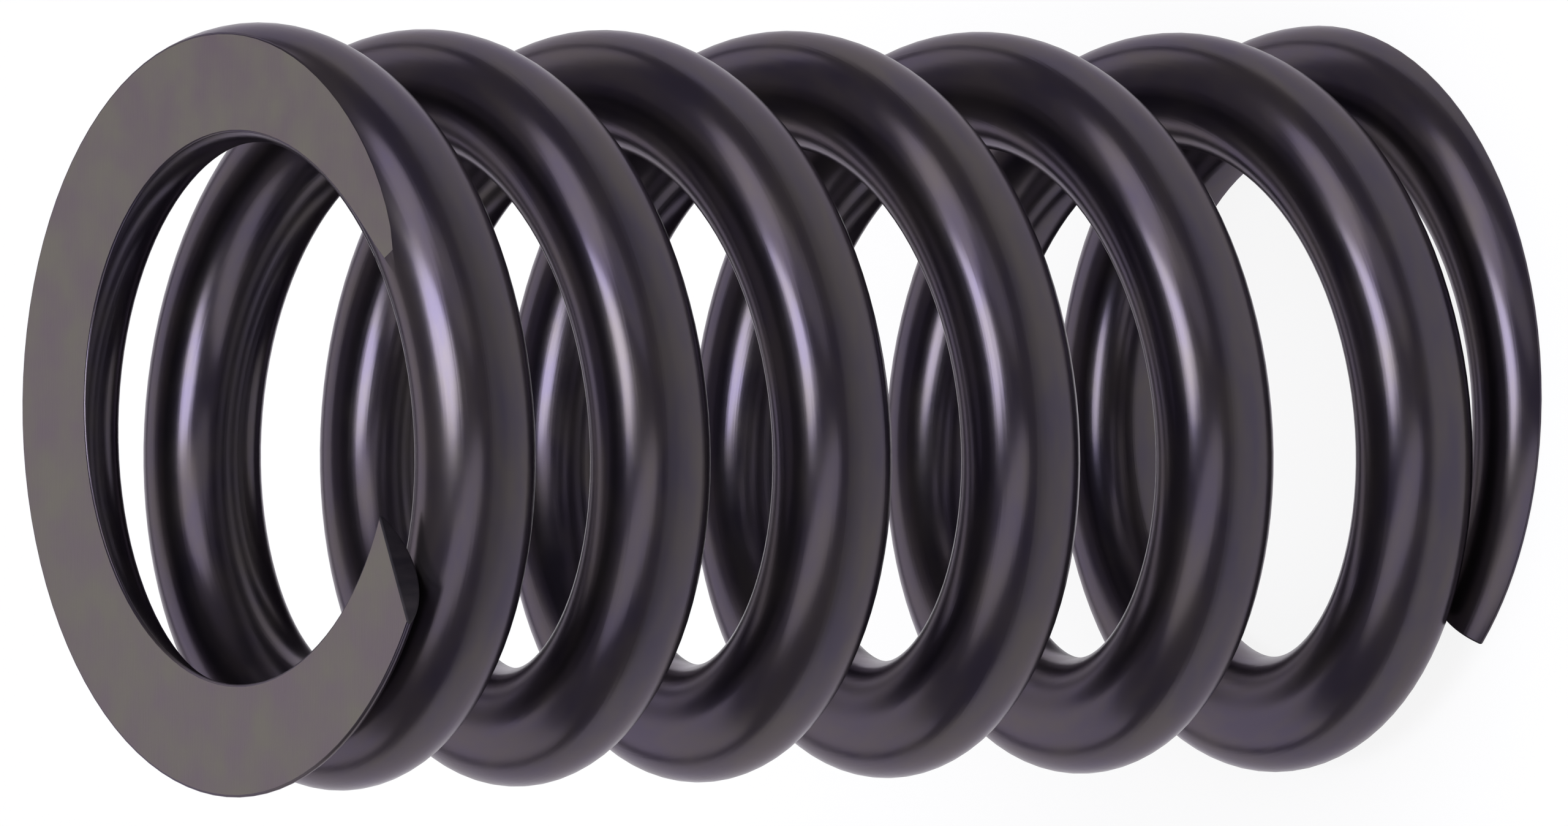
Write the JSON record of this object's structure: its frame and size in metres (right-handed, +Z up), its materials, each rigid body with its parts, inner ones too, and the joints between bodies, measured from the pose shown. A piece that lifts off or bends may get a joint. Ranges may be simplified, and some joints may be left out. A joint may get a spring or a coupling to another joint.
{
  "type": "engine valve spring",
  "caption": "Round-wire helical compression spring with closed, ground ends, for closing an engine valve.",
  "frame": {"origin": "centre of the lower ground seat face, on the coil axis", "axes": "+Z up the coil axis from the lower seat face to the upper one; +X and +Y have no feature of their own, and the upper wire end is 118.5 degrees from +X towards -Y"},
  "size_m": [0.0292, 0.0292, 0.0508],
  "materials": {
    "spring_steel": "oil-tempered spring wire, near-black with a satin gloss; both seat faces ground to bare grey steel"
  },
  "bodies": {
    "root": {"valve_spring": "spring_steel"}
  },
  "joints": []
}
